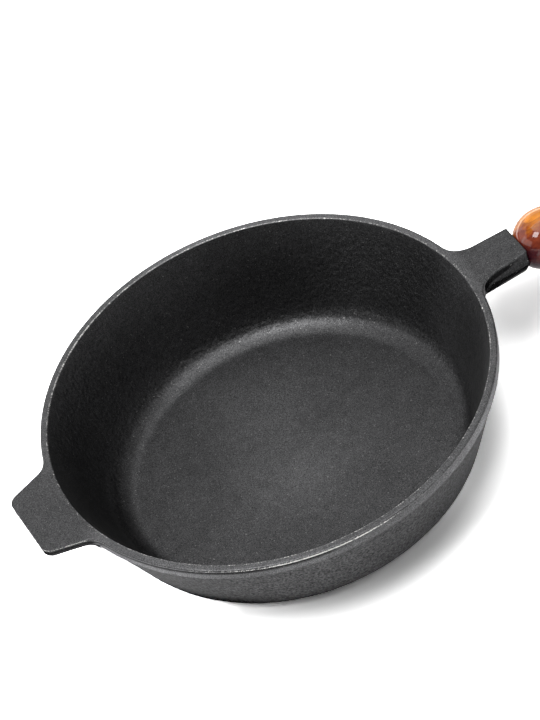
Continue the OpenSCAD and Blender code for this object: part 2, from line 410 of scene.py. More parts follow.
def inner_rings(form):
    """The cooking surface, from the middle of the floor up to the edge of the mouth."""
    s = form.s
    corner = np.array([form.floor_corner_r, s.floor_t])
    mouth = np.array([form.mouth_r, s.height])
    inwards, outwards = np.array([-1.0, 0.0]), np.array([1.0, 0.0])
    fillet = section_fillet(corner, inwards, mouth - corner, s.corner_r - s.wall_t, FILLET_STEPS)
    arris = section_fillet(mouth, corner - mouth, outwards, s.arris_r * MOUTH_ARRIS_SHARE, 5)
    wall = fillet[-1] + np.outer(stepped([0.03, 0.97], [11]), arris[0] - fillet[-1])
    flat = [[fillet[0][0] * k, s.floor_t] for k in FLAT_SHARES]
    rings = []
    for r, z in np.concatenate([flat, fillet, wall, arris]):
        turn = smooth((z - 0.3 * s.height) / (0.6 * s.height))
        rings.append(raised(on_circle(EVEN_ANGLES + (form.plan.angles - EVEN_ANGLES) * turn, r), z))
    return rings


def top_rings(inner_edge, outer_edge):
    """The flat ground face from the mouth out to the outline of rim, tab and boss."""
    return [inner_edge + (outer_edge - inner_edge) * k for k in FACE_SHARES]


def side_inset(form, points):
    """How far the drag half of the mould is out of line under the rim's ground face, point by point."""
    facing = points @ SLIP_WAY / from_axis(points)
    return form.s.mismatch * (SLIP_SHARE + (1 - SLIP_SHARE) * smooth(facing * 0.5 + 0.5))


def quarter_round(steps):
    """How far in from the side and down from the face a rounded edge lies, as shares of its radius."""
    turns = np.linspace(0, math.pi / 2, steps)
    return list(zip(1 - np.sin(turns), 1 - np.cos(turns)))


def eased(rings, weight, top_z, low_z, plain_at):
    """Fades rings under a lug into plain ones beside it, which go down evenly from top_z to low_z."""
    faded = []
    for z, ring in zip(np.linspace(top_z, low_z, len(rings)), rings):
        plain = raised(plain_at(z), z)
        faded.append(plain + (ring - plain) * weight[:, None])
    return faded


def rim_side_rings(form):
    """The outer side of rim, tab and boss, from the ground arris down to the level under the tab."""
    s = form.s
    outline, inwards = form.plan.whole(s.rim_r, form.boss_at(s.height), form.tab)
    step_in = side_inset(form, outline)
    arris = s.arris_r * (1 - LUG_ARRIS_LOSS_SHARE * past(from_axis(outline) - s.rim_r, 1, 6))
    rings = []
    for inset, drop in quarter_round(5):
        rings.append(raised(outline + inwards * (arris * inset)[:, None], s.height - arris * drop))
    for drop, k in PARTING_SHARES:
        rings.append(raised(outline + inwards * (step_in * k)[:, None], s.height - arris - drop * MM))
    return rings, step_in


def tab_under_rings(form, step_in):
    """From the tab's lower edge in under it and down the lip. The rest of the rim runs straight down."""
    s = form.s
    boss = form.boss_at(s.height)
    tab_z = s.height - s.tab_t
    outline, inwards = form.plan.whole(s.rim_r, boss, form.tab)
    bare, bare_inwards = form.plan.whole(s.rim_r, boss)
    side = outline + inwards * step_in[:, None]
    lip = bare + bare_inwards * step_in[:, None]
    outer = side + inwards * TAB_EDGE_R
    inner = lip - bare_inwards * TAB_FILLET_R
    rings = []
    for up, inset in quarter_round(5):
        rings.append(raised(side + inwards * TAB_EDGE_R * inset, tab_z + TAB_EDGE_R * up))
    for k in UNDER_TAB_SHARES:
        rings.append(raised(outer + (inner - outer) * k, tab_z))
    for out, drop in quarter_round(5):
        rings.append(raised(lip - bare_inwards * TAB_FILLET_R * out, tab_z - TAB_FILLET_R * drop))
    gap = np.linalg.norm(outline - bare, axis=1)
    weight = smooth((gap - LEAST_REACH) / (TAB_EDGE_R + TAB_FILLET_R))
    return eased(rings, weight, tab_z + TAB_EDGE_R, tab_z - TAB_FILLET_R, lambda z: side)


def lip_and_boss_rings(form, step_in):
    """The lip's lower edge with the soft hollow under it, and the boss down to its lower edge."""
    s = form.s
    soft = LIP_SOFTNESS
    round_lip = np.linspace(s.height - s.tab_t - BELOW_TAB_FILLET, form.lip_z - 1.4 * soft, 9)
    down_boss = np.linspace(form.lip_z - 2.2 * soft, form.boss_low + BOSS_EDGE_R, 9)
    rings = []
    for z in np.concatenate([round_lip, down_boss]):
        turn = float(smooth((form.lip_z + soft - z) / (2.4 * soft)))
        base_r = s.rim_r + (form.wall_r(z) - s.rim_r) * turn
        outline, inwards = form.plan.whole(base_r, form.boss_at(z))
        rings.append(raised(outline + inwards * (step_in * (1 - turn))[:, None], z))
    return rings


def boss_under_rings(form):
    """From the boss's lower edge in under it, with a hollow where it meets the wall."""
    low = form.boss_low
    base_r = form.wall_r(low)
    edge, inwards = form.plan.whole(base_r, form.boss_at(low))
    outer = edge + inwards * BOSS_EDGE_R
    hollow = onto_circle(edge, base_r + BOSS_FILLET_R)
    wall = onto_circle(edge, form.wall_r(low - BOSS_FILLET_R))
    rings = []
    for up, inset in quarter_round(5)[1:]:
        rings.append(raised(edge + inwards * BOSS_EDGE_R * inset, low + BOSS_EDGE_R * up))
    for k in UNDER_BOSS_SHARES:
        rings.append(raised(outer + (hollow - outer) * k, low))
    for out, drop in quarter_round(7)[1:]:
        rings.append(raised(wall + (hollow - wall) * out, low - BOSS_FILLET_R * drop))
    weight = smooth((from_axis(edge) - base_r - LEAST_REACH) / (BOSS_EDGE_R + BOSS_FILLET_R))
    top_z, low_z = low + BOSS_EDGE_R * 0.8, low - BOSS_FILLET_R
    return eased(rings, weight, top_z, low_z, lambda z: onto_circle(edge, form.wall_r(z)))


def outer_rings(form, start_angles):
    """The wall below the boss, the rounded corner and the flat base."""
    corner = np.array([form.base_corner_r, 0.0])
    top_z = form.boss_low - BELOW_BOSS_FILLET
    top = np.array([form.wall_r(top_z), top_z])
    fillet = section_fillet(corner, top - corner, np.array([-1.0, 0.0]), form.s.corner_r, FILLET_STEPS)
    wall = top + np.outer(np.linspace(0, 0.97, 7), fillet[0] - top)
    flat = [[fillet[-1][0] * k, 0.0] for k in reversed(FLAT_SHARES)]
    rings = []
    for r, z in np.concatenate([wall, fillet, flat]):
        turn = smooth((top_z - z) / (0.8 * top_z))
        rings.append(raised(on_circle(start_angles + (EVEN_ANGLES - start_angles) * turn, r), z))
    return rings


def bridge(first, second, columns):
    """Quads between two rings of equally many points, given by the index of their first point."""
    step = np.arange(columns)
    ahead = (step + 1) % columns
    return np.stack([first + step, first + ahead, second + ahead, second + step], axis=-1).tolist()


def disc(points, faces, rim_start, rim_points, z):
    """Closes a ring with ever coarser rings and a middle point, so that no face is a needle."""
    columns = len(rim_points)
    start = rim_start
    radius_share = 1.0
    while columns % 2 == 0 and columns > FEWEST_COLUMNS:
        columns //= 2
        radius_share *= DISC_STEP_SHARE
        inner = rim_points[::len(rim_points) // columns] * [radius_share, radius_share, 0] + [0, 0, z]
        inner_start = sum(len(p) for p in points)
        points.append(inner)
        for j in range(columns):
            a, b, c = start + 2 * j, start + 2 * j + 1, start + (2 * j + 2) % (2 * columns)
            p, q = inner_start + j, inner_start + (j + 1) % columns
            faces += [[a, b, p], [b, c, q], [b, q, p]]
        start = inner_start
    middle = sum(len(p) for p in points)
    points.append(np.array([[0.0, 0.0, z]]))
    faces += [[start + j, start + (j + 1) % columns, middle] for j in range(columns)]


def linked(name, data):
    """A new object at the origin that holds this mesh, lamp or camera."""
    obj = bpy.data.objects.new(name, data)
    bpy.context.scene.collection.objects.link(obj)
    return obj


def mesh_object(name, points, faces):
    """A new mesh object from its points and faces."""
    mesh = bpy.data.meshes.new(name)
    mesh.from_pydata(np.asarray(points).tolist(), [], faces)
    return linked(name, mesh)


def object_of(bm, name):
    """A new mesh object from a bmesh, which is freed."""
    mesh = bpy.data.meshes.new(name)
    bm.to_mesh(mesh)
    bm.free()
    return linked(name, mesh)


def tidy_mesh(obj, merge=1e-6):
    """Merges doubled points, turns every face outwards and shades the mesh smooth."""
    bm = bmesh.new()
    bm.from_mesh(obj.data)
    bmesh.ops.remove_doubles(bm, verts=bm.verts, dist=merge)
    bmesh.ops.recalc_face_normals(bm, faces=bm.faces)
    for face in bm.faces:
        face.smooth = True
    bm.to_mesh(obj.data)
    bm.free()


def set_share(mesh, name, values):
    """Stores one number for each point of a mesh, for its material to read."""
    attribute = mesh.attributes.new(name, "FLOAT", "POINT")
    attribute.data.foreach_set("value", np.asarray(values, np.float32))


def build_casting_mesh(settings):
    """The whole casting as one closed skin of rings, from the middle of its floor round to its base."""
    form = CastingForm(settings)
    rims, step_in = rim_side_rings(form)
    inside = inner_rings(form)
    top = top_rings(inside[-1], rims[0])
    lower = tab_under_rings(form, step_in) + lip_and_boss_rings(form, step_in) + boss_under_rings(form)
    rings = inside + top + rims + lower + outer_rings(form, angles_of(lower[-1]))

    mouth_end = len(inside)
    arris_start = mouth_end + len(top)
    worn = np.zeros(len(rings))
    worn[mouth_end - 5:mouth_end + 1] = MOUTH_WEAR_SHARES
    worn[arris_start:arris_start + len(ARRIS_WEAR_SHARES)] = ARRIS_WEAR_SHARES
    outside_rings = np.zeros(len(rings))
    outside_rings[arris_start + 4:] = 1.0
    points = list(rings)
    faces = []
    for k in range(len(rings) - 1):
        faces += bridge(k * COLUMNS, (k + 1) * COLUMNS, COLUMNS)
    disc(points, faces, 0, rings[0], settings.floor_t)
    disc(points, faces, (len(rings) - 1) * COLUMNS, rings[-1], 0.0)
    points = np.concatenate(points)
    spare = len(points) - COLUMNS * len(rings)
    inner_spare, outer_spare = np.zeros(spare // 2), np.ones(spare - spare // 2)
    on_outside = np.concatenate([np.repeat(outside_rings, COLUMNS), inner_spare, outer_spare])
    obj = mesh_object("cast_iron_pan", points, faces)
    wear_and_glints = np.concatenate([np.repeat(worn, COLUMNS), np.zeros(spare)])
    set_share(obj.data, "wear_and_glints", wear_and_glints * rubbing_and_glints(form, points))
    # Painted light and shade: a number that darkens or lightens the iron's colour where light or shade
    # falls.
    set_share(obj.data, "painted_shading", painted_skin_shading(form, points, on_outside))
    off_floor = past(points[:, 2] - settings.floor_t, 0.3, 3)
    below_rim = past(settings.height - points[:, 2], 0, 8)
    set_share(obj.data, "rippled", (1 - on_outside) * off_floor * below_rim)
    on_lug = past(from_axis(points) - settings.rim_r, 0.5, 3)
    set_share(obj.data, "sandy", on_outside * (1 - lip_share(form, points)) * (1 - 0.7 * on_lug))
    tidy_mesh(obj)
    sink_skin(obj, form)
    return obj


def rubbing_and_glints(form, points):
    """How much each part of the edges is rubbed bare: partly wear, partly a painted highlight, as it is
    heaviest where the edges glint towards the camera.
    """
    angles = np.degrees(np.arctan2(points[:, 1], points[:, 0]))
    reach = from_axis(points)
    # Most rubbing where the edges face the camera, and on the far inner edge, where they glint: a painted
    # highlight as well as wear.
    near = bell((angles + 105) / 21)
    far = bell((angles - 130) / 22)
    on_tab = past(reach - form.s.rim_r, 1, 4) * (points[:, 0] < 0)
    outer_rub = np.maximum(0.25 + 0.85 * near, 0.85 * on_tab)
    inner_rub = 0.52 + 0.3 * far + 0.1 * near
    return inner_rub + (outer_rub - inner_rub) * past(reach - form.mouth_r, 2, 1)


def lip_share(form, points):
    """1 on the smooth lip round the rim, 0 on the wall below it, with a soft edge between."""
    on_lug = past(from_axis(points) - form.s.rim_r, 0.5, 2)
    return past(points[:, 2] - form.lip_z, -0.7, 1.6) * (1 - on_lug)


def face_finish_and_painted_light(x, y, reach, angles):
    """The ground face: lighter than the rest, with painted highlights on the far side of the rim and at its
    near left, plainer on the tab and the boss.
    """
    # Painted highlights: brighter on the far right, in a band round the far side and on the near left.
    face = 1.46 + 0.6 * past(x, 0, 60) * past(y, 0, 40)
    face *= 1 + 0.7 * bell((angles - 86) / 13) + 0.3 * bell((angles + 137) / 25)
    lug_face = np.where(x > 0, 1.03, 1.12)
    on_lug = np.maximum(past(reach, -2, 6), past(-np.abs(y), -30, 9) * (x < 0))
    return face + (lug_face - face) * on_lug


def inside_painted_shading(x, y, z):
    """The cooking surface, all painted light and shade: a pool of light in the middle of the floor, a
    painted shadow where the floor turns up into the wall, and lighter and darker bands round the walls.
    """
    inside = 0.96 + 0.50 * bell(np.hypot(x + 5 * MM, y + 9 * MM) / (34 * MM))
    # Painted light on the far floor and low on the left and right walls; painted shade in a line on the far
    # side, high on the right wall and up the walls.
    far, left, right = past(y, 0, 60), past(-x, 8, 35), past(x, 0, 50)
    up = z - 9.3 * MM
    spread = np.where(up > 0, 3.2, 1.2 + 1.8 * left) * MM
    inside *= 1 - 0.48 * (0.3 + 0.7 * past(y, 0, 30)) * bell(up / spread)
    inside *= 1 + 0.2 * far * (1 - past(z, 8, 2))
    inside *= 1 - 0.15 * far * bell((z - 6 * MM) / (0.7 * MM))
    inside *= 1 + 0.35 * left * bell((z - 14.5 * MM) / (3 * MM))
    inside *= 1 - 0.2 * right * past(y, 0, 40) * past(z, 14, 6)
    inside *= 1 + 0.75 * right * past(-y, -34, 42) * past(z, 8, 8)
    return inside * (1 - 0.06 * past(z, 9, 6))


def outside_painted_shading(form, points, reach, angles):
    """The outer skin, in painted light and shade: a lighter lip with painted highlights at its ends,
    painted shade on the sides of tab and boss, along the parting seam, near the base and by the boss, and
    painted light under the boss.
    """
    s = form.s
    x, y, z = points.T
    below = s.height - z
    boss_half = x > 0
    lip = lip_share(form, points)
    lug_side = past(reach - np.maximum(form.wall_r(z) - s.rim_r, 0), 0, 3) * past(below, 0.2, 0.5)

    # Painted shade along the parting seam, deepest in a wedge on the boss's side by its root.
    to_root = past(reach, 0.5, 3) * np.clip(1 - (reach - 4 * MM) / (24 * MM), 0, 1) * boss_half
    parting_start = below - s.arris_r - 0.6 * MM
    parting_seam_and_shade = past(parting_start, 0, 0.25) * (1 - past(parting_start - (1.5 + 2.5 * to_root) * MM, 0, 0.5))
    along_rim = 0.15 + 0.85 * past(-x, 10, 22)
    parting_seam_and_shade *= np.maximum(along_rim, lug_side * (0.2 + 0.8 * smooth(2.5 * to_root)) * boss_half)

    # Painted shade near the boss, under its root and low on the wall; painted light under the boss.
    shade_near_boss = past(-np.abs(y), -30, 14) * past(below, 0, 9) * boss_half
    below_boss = form.boss_low + 6 * MM - z
    shade_under_root = past(below_boss, 0, 5) * past(-reach, -24, 20) * lug_side * boss_half
    painted_light_under_boss = past(below_boss, 0, 4) * past(reach, 6, 10) * boss_half
    base = (1 - past(z, 0, 34)) * past(-x, 45, 32)
    foot_shade = (1 - past(z, 5, 16)) * past(-x, 0, 40)
    lip_end_highlights = np.clip((np.abs(angles + 100) - 25) / 30, 0, 0.7)

    # The lip is painted lighter, most at its ends, where highlights fall.
    outside = (1.16 + 0.48 * lip) * (1 + 1.1 * lip * lip_end_highlights)
    outside *= (1 - 0.5 * foot_shade) * (1 - 0.74 * parting_seam_and_shade) * (1 - 0.38 * lug_side) * (1 - 0.5 * shade_near_boss)
    return outside * (1 - 0.75 * base) * (1 - 0.75 * shade_under_root) * (1 + 1.8 * painted_light_under_boss)


def painted_skin_shading(form, points, on_outside):
    """How light the skin is painted, place by place: mostly painted light and shade, with the ground faces
    lighter.
    """
    x, y, z = points.T
    reach = from_axis(points) - form.s.rim_r
    angles = np.degrees(np.arctan2(y, x))
    on_top = 1 - past(form.s.height - z, 0.1, 0.4)
    inside = inside_painted_shading(x, y, z)
    inside += (face_finish_and_painted_light(x, y, reach, angles) - inside) * on_top
    return np.where(on_outside > 0.5, outside_painted_shading(form, points, reach, angles), inside)


def sink_skin(obj, form):
    """Lets the sand-cast skin sink unevenly into the metal, away from the ground faces and the base."""
    mesh = obj.data
    points = np.empty(len(mesh.vertices) * 3)
    normals = np.empty(len(mesh.vertices) * 3)
    mesh.vertices.foreach_get("co", points)
    mesh.vertices.foreach_get("normal", normals)
    points, normals = points.reshape(-1, 3), normals.reshape(-1, 3)
    off_ground = past(form.s.height - points[:, 2], 2, 3) * past(points[:, 2], 0, 3)
    slow = []
    for point in map(Vector, points):
        slow.append(noise.noise(point / LONG_WAVE) + 0.5 * noise.noise(point / SHORT_WAVE))
    depth = form.s.waviness * off_ground * np.clip(0.5 + 0.6 * np.array(slow), 0, 1)
    mesh.vertices.foreach_set("co", (points - normals * depth[:, None]).ravel())
    mesh.update()


# Nodes

def feed(tree, socket, value):
    """Links an output to a socket, or sets the socket's own value."""
    if isinstance(value, bpy.types.NodeSocket):
        tree.links.new(value, socket)
    else:
        socket.default_value = value


def put(tree, kind, inputs=None, **settings):
    """A new node with its settings and inputs."""
    made = tree.nodes.new(kind)
    for name, value in settings.items():
        setattr(made, name, value)
    for key, value in (inputs or {}).items():
        feed(tree, made.inputs[key], value)
    return made


def calc(tree, operation, *values, clamp=False):
    """The output of a Math node."""
    inputs = dict(enumerate(values))
    return put(tree, "ShaderNodeMath", inputs, operation=operation, use_clamp=clamp).outputs[0]


def vector(tree, operation, *values):
    """The output of a Vector Math node."""
    return put(tree, "ShaderNodeVectorMath", dict(enumerate(values)), operation=operation).outputs[0]


def scaled(tree, values, factor):
    """A colour or a place times a number."""
    return put(tree, "ShaderNodeVectorMath", {0: values, "Scale": factor}, operation="SCALE").outputs[0]


def from_origin(tree, place):
    """How far a place lies from the origin."""
    return put(tree, "ShaderNodeVectorMath", {0: place}, operation="LENGTH").outputs["Value"]


def coordinate(tree, place, axis):
    """One coordinate of a place: axis 0 is X, 1 is Y and 2 is Z."""
    return put(tree, "ShaderNodeSeparateXYZ", {0: place}).outputs[axis]


def mapped(tree, place, **change):
    """A place moved, turned or stretched."""
    return put(tree, "ShaderNodeMapping", {"Vector": place, **change}).outputs[0]


def noise_of(tree, place, size, detail=3.0, roughness=0.5):
    """A noise between 0 and 1 whose features have this size in metres."""
    inputs = {"Vector": place, "Scale": 1 / size, "Detail": detail, "Roughness": roughness}
    return put(tree, "ShaderNodeTexNoise", inputs).outputs["Fac"]


def ramp(tree, value, low, high, to_low=0.0, to_high=1.0, **settings):
    """Stretches a value from one range to another and clamps it."""
    inputs = {"Value": value, "From Min": low, "From Max": high, "To Min": to_low, "To Max": to_high}
    return put(tree, "ShaderNodeMapRange", inputs, **settings).outputs["Result"]


def blend_colours(tree, factor, first, second):
    """A colour between two others, which are outputs or plain colours."""
    made = put(tree, "ShaderNodeMix", {0: factor}, data_type="RGBA")
    for key, value in ((6, first), (7, second)):
        feed(tree, made.inputs[key], value if isinstance(value, bpy.types.NodeSocket) else (*value, 1.0))
    return made.outputs[2]


def attribute_of(tree, name):
    """A number stored on the mesh's points."""
    return put(tree, "ShaderNodeAttribute", attribute_name=name).outputs["Fac"]


def new_material(name):
    """An empty material with its shader and its object coordinates."""
    material = bpy.data.materials.new(name)
    material.use_nodes = True
    tree = material.node_tree
    shader = tree.nodes["Principled BSDF"]
    coordinates = put(tree, "ShaderNodeTexCoord").outputs["Object"]
    return material, tree, shader, coordinates


def bump(tree, height, distance, normal=None, strength=1.0):
    """The normal of a surface raised by a height between 0 and 1 times a distance in metres."""
    inputs = {"Height": height, "Distance": distance, "Strength": strength}
    if normal is not None:
        inputs["Normal"] = normal
    return put(tree, "ShaderNodeBump", inputs).outputs["Normal"]


def seasoned_iron(settings):
    """Sand-cast iron under a dark seasoned film: fine grain, mottling, edges rubbed bare, and painted light
    and shade from the mesh.
    """
    material, tree, shader, upright = new_material("seasoned_iron")
    at = mapped(tree, upright, Rotation=(0.5, 0.7, 0.3))
    sandy = attribute_of(tree, "sandy")
    wear_and_glints = attribute_of(tree, "wear_and_glints")
    painted_shading = attribute_of(tree, "painted_shading")
    grain = settings.grain_size

    fine = noise_of(tree, at, grain * 0.5, 1.0, 0.5)
    coarse = noise_of(tree, at, grain * 1.3, 2.0, 0.6)
    sand = noise_of(tree, mapped(tree, upright, Scale=(1, 1, 0.75)), grain * 1.35, 2.0, 0.6)
    patches = noise_of(tree, at, 40 * MM, 3.0, 0.5)
    mottle = noise_of(tree, at, 6 * MM, 2.0, 0.5)

    light = calc(tree, "MULTIPLY_ADD", patches, 0.55, calc(tree, "MULTIPLY", mottle, 0.45))
    light = ramp(tree, light, 0.36, 0.64, 0.87, 1.13)
    speckle = ramp(tree, fine, 0.33, 0.69, 0.48, 1.56)
    blotch = ramp(tree, coarse, 0.32, 0.68, 0.85, 1.15)
    sand_dark = calc(tree, "MULTIPLY_ADD", sandy, -0.9, 1.0)
    sand_light = calc(tree, "MULTIPLY_ADD", sandy, 0.9, 1.0)
    sand_tone = ramp(tree, sand, 0.34, 0.66, sand_dark, sand_light)
    # Painted light and shade: the mesh's stored number scales the iron's colour.
    level = calc(tree, "MULTIPLY", light, painted_shading)
    for pattern in (speckle, blotch, sand_tone):
        level = calc(tree, "MULTIPLY", level, pattern)
    base = scaled(tree, settings.iron, level)

    # Bare metal on the rubbed edges and in specks; heaviest where the edges glint, so it also paints their
    # highlight.
    specks = ramp(tree, noise_of(tree, at, grain * 0.9, 0.0), 0.76, 0.84)
    broken = noise_of(tree, at, 0.8 * MM, 3.0, 0.7)
    patchy = ramp(tree, noise_of(tree, at, 7 * MM, 2.0, 0.5), 0.35, 0.65, -0.15, 0.15)
    limit = calc(tree, "MULTIPLY_ADD", calc(tree, "ADD", wear_and_glints, patchy), -0.36, 0.74)
    bright_edge = ramp(tree, calc(tree, "SUBTRACT", broken, limit), 0.0, 0.07)
    bright_edge = calc(tree, "MULTIPLY", bright_edge, ramp(tree, wear_and_glints, 0.05, 0.3))
    rubbed = calc(tree, "MAXIMUM", bright_edge, calc(tree, "MULTIPLY", specks, 0.22))
    feed(tree, shader.inputs["Base Color"], blend_colours(tree, rubbed, base, settings.bare_metal))
    shader.inputs["Metallic"].default_value = 1.0
    # The painted light and shade also dims the iron's reflection at grazing angles.
    grazing = ramp(tree, painted_shading, 0.35, 1.0, 0.1, 0.72)
    grey = put(tree, "ShaderNodeCombineColor", dict.fromkeys(range(3), grazing))
    feed(tree, shader.inputs["Specular Tint"], grey.outputs[0])

    film = ramp(tree, fine, 0.3, 0.7, 0.40, 0.48)
    polish = calc(tree, "MULTIPLY", rubbed, 0.10)
    feed(tree, shader.inputs["Roughness"], calc(tree, "SUBTRACT", film, polish))
    ripples = noise_of(tree, at, grain * 2.6, 1.0, 0.5)
    ripples = calc(tree, "MULTIPLY", ripples, attribute_of(tree, "rippled"))
    rough = bump(tree, calc(tree, "MULTIPLY", sand, sandy), 0.24 * MM)
    rough = bump(tree, ripples, 0.3 * MM, rough)
    feed(tree, shader.inputs["Normal"], bump(tree, fine, 0.05 * MM, rough))
    return material


LACQUER = {
    "Roughness": 0.5, "Specular IOR Level": 0.0, "Sheen Weight": 1.0, "Sheen Roughness": 0.15,
    "Coat Weight": 1.0, "Coat Roughness": 0.075, "Coat IOR": 1.5,
}


def lacquered_wood(settings):
    """Turned wood, figured along the grip, under clear gloss lacquer, with painted light and shade: orange
    above where the light falls, dark below and by the boss.
    """
    material, tree, shader, at = new_material("lacquered_wood")
    place = mapped(tree, at, Location=(0, 0, -rod_axis_z))
    board = put(tree, "ShaderNodeVectorRotate", {"Vector": place, "Angle": 0.52}, rotation_type="X_AXIS")
    along = mapped(tree, board.outputs[0], Scale=(0.25, 1, 1))
    drift = put(tree, "ShaderNodeTexNoise", {"Vector": along, "Scale": 90.0, "Detail": 3.0})
    shifted = vector(tree, "SUBTRACT", drift.outputs["Color"], (0.5, 0.5, 0.5))
    bent = vector(tree, "ADD", along, scaled(tree, shifted, 0.016))
    wave = {"Vector": bent, "Scale": 85.0, "Distortion": 1.6, "Detail": 3.0, "Detail Scale": 2.0}
    bands = put(tree, "ShaderNodeTexWave", wave, wave_type="BANDS", bands_direction="Z", wave_profile="SAW")
    rings = bands.outputs["Fac"]

    clouds = noise_of(tree, along, 9 * MM, 4.0, 0.65)
    cloud_shift = calc(tree, "SUBTRACT", clouds, 0.5)
    height = calc(tree, "MULTIPLY_ADD", cloud_shift, 26 * MM, coordinate(tree, bent, 2))
    # Painted light and shade: dark below and orange above, where the light falls, with real figure from the
    # clouds.
    lower = blend_colours(tree, ramp(tree, height, -6 * MM, 5 * MM), settings.wood_dark_and_shade, settings.wood_mid)
    body = blend_colours(tree, ramp(tree, height, 9 * MM, 17 * MM), lower, settings.wood_orange_lit_top)
    late = calc(tree, "MULTIPLY", ramp(tree, rings, 0.3, 1.0), 0.35)
    # Painted shade at the grip's front end, low down next to the boss.
    from_end = calc(tree, "SUBTRACT", coordinate(tree, place, 0), grip_low.x)
    from_end = calc(tree, "MULTIPLY_ADD", cloud_shift, 8 * MM, from_end)
    painted_shade_at_bulb_end = ramp(tree, from_end, 2 * MM, 9 * MM, 0.8, 0.0)
    painted_shade_at_bulb_end = calc(tree, "MULTIPLY", painted_shade_at_bulb_end, ramp(tree, height, 0, 8 * MM, 1, 0))
    late = calc(tree, "MAXIMUM", late, painted_shade_at_bulb_end)
    grained = blend_colours(tree, late, body, settings.wood_dark_and_shade)
    pores_at = mapped(tree, place, Scale=(0.06, 1, 1))
    pores = ramp(tree, noise_of(tree, pores_at, 0.5 * MM, 2.0), 0.62, 0.72, 0.0, 0.45)
    feed(tree, shader.inputs["Base Color"], blend_colours(tree, pores, grained, settings.wood_dark_and_shade))
    for name, value in LACQUER.items():
        shader.inputs[name].default_value = value
    feed(tree, shader.inputs["Normal"], bump(tree, rings, 0.02 * MM, strength=0.6))
    feed(tree, shader.inputs["Coat Normal"], bump(tree, noise_of(tree, place, 6 * MM, 2.0), 0.03 * MM))
    return material


STEEL_DARK_SHARE = 0.8
STEEL_ROUGH_SHARES = (0.75, 1.3)


def turned_steel(name, settings, roughness, line_size, line_scale):
    """Bright steel with fine lines left by the tool or the brush."""
    material, tree, shader, at = new_material(name)
    lines = noise_of(tree, mapped(tree, at, Scale=line_scale), line_size, 3.0, 0.6)
    clouds = ramp(tree, noise_of(tree, at, 7 * MM, 3.0, 0.6), 0.35, 0.65)
    dark = tuple(STEEL_DARK_SHARE * c for c in settings.steel)
    feed(tree, shader.inputs["Base Color"], blend_colours(tree, clouds, dark, settings.steel))
    shader.inputs["Metallic"].default_value = 1.0
    rough_range = [roughness * share for share in STEEL_ROUGH_SHARES]
    feed(tree, shader.inputs["Roughness"], ramp(tree, lines, 0.3, 0.7, *rough_range))
    feed(tree, shader.inputs["Normal"], bump(tree, lines, 0.012 * MM))
    return material


# Pieces

def finish_piece(obj, material, body, node_name):
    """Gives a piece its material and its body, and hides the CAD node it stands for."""
    obj.data.materials.clear()
    obj.data.materials.append(material)
    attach(obj, body)
    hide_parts(node_name)


def bake_modifiers(obj):
    """Turns the evaluated result of an object's modifiers into its plain mesh."""
    graph = bpy.context.evaluated_depsgraph_get()
    mesh = bpy.data.meshes.new_from_object(obj.evaluated_get(graph))
    obj.modifiers.clear()
    obj.data = mesh


def combine(obj, other, operation):
    """Joins another object to this one or cuts it away, and removes it."""
    modifier = obj.modifiers.new("Combine", "BOOLEAN")
    modifier.operation = operation
    modifier.solver = "EXACT"
    modifier.object = other
    bake_modifiers(obj)
    bpy.data.objects.remove(other)


def cut_hole(obj, radius, start, stop):
    """Bores a round hole along X at the height of the rod."""
    bm = bmesh.new()
    turn = Matrix.Rotation(math.pi / 2, 4, "Y")
    place = Matrix.Translation(((start + stop) / 2, 0, rod_axis_z)) @ turn
    bmesh.ops.create_cone(bm, cap_ends=True, segments=64, radius1=radius, radius2=radius,
                          depth=stop - start, matrix=place)
    combine(obj, object_of(bm, "hole_cutter"), "DIFFERENCE")


class PAN_OT_casting(bpy.types.Operator):
    """Builds the iron casting: bowl, rim, helper tab and handle boss."""

    bl_idname = "pan.casting"
    bl_label = "Cast iron body"

    def execute(self, context):
        settings = context.scene.pan_casting
        obj = build_casting_mesh(settings)
        cut_hole(obj, settings.tap_r, casting_high.x - settings.tap_depth, casting_high.x + 1 * MM)
        finish_piece(obj, seasoned_iron(settings), "pan", "pan_casting")
        return {"FINISHED"}


def turned(name, section, steps, axis="X", centre=None):
    """A closed turned piece from its section: points of distance along the axis and radius, in order."""
    section = np.asarray(section, float)
    angles = np.linspace(0, 2 * math.pi, steps, endpoint=False)
    rings = []
    for along, r in section:
        level = np.full(steps, along)
        side = r * np.sin(angles)
        rise = rod_axis_z + r * np.cos(angles)
        rings.append(np.column_stack([level, side, rise] if axis == "X" else [centre + side, level, rise]))
    faces = []
    for k in range(len(section)):
        faces += bridge(k * steps, ((k + 1) % len(section)) * steps, steps)
    obj = mesh_object(name, np.concatenate(rings), faces)
    tidy_mesh(obj)
    return obj


def rounded(corners, steps=4):
    """Points of a closed section from its corners, each given as distance, radius and rounding."""
    places = [np.array(corner[:2], float) for corner in corners]
    points = []
    for k, (place, corner) in enumerate(zip(places, corners)):
        if corner[2] > 0:
            before = places[k - 1] - place
            after = places[(k + 1) % len(places)] - place
            points += list(section_fillet(place, before, after, corner[2], steps))
        else:
            points.append(place)
    return points


# Geometry Nodes

SEAM_DISTANCE = 2e-6
OUTLINE_ROWS = 181
INNER_ROWS = (3, 4, 4, 15, 3)


def rule_tree(name, values):
    """A Geometry Nodes tree with one named input for each value, and the places to read them from."""
    tree = bpy.data.node_groups.new(name, "GeometryNodeTree")
    tree.interface.new_socket("Geometry", in_out="OUTPUT", socket_type="NodeSocketGeometry")
    for key, value in values.items():
        kind = "NodeSocketInt" if isinstance(value, int) else "NodeSocketFloat"
        tree.interface.new_socket(key, in_out="INPUT", socket_type=kind)
    group = tree.nodes.new("NodeGroupInput")
    return tree, {key: group.outputs[key] for key in values}


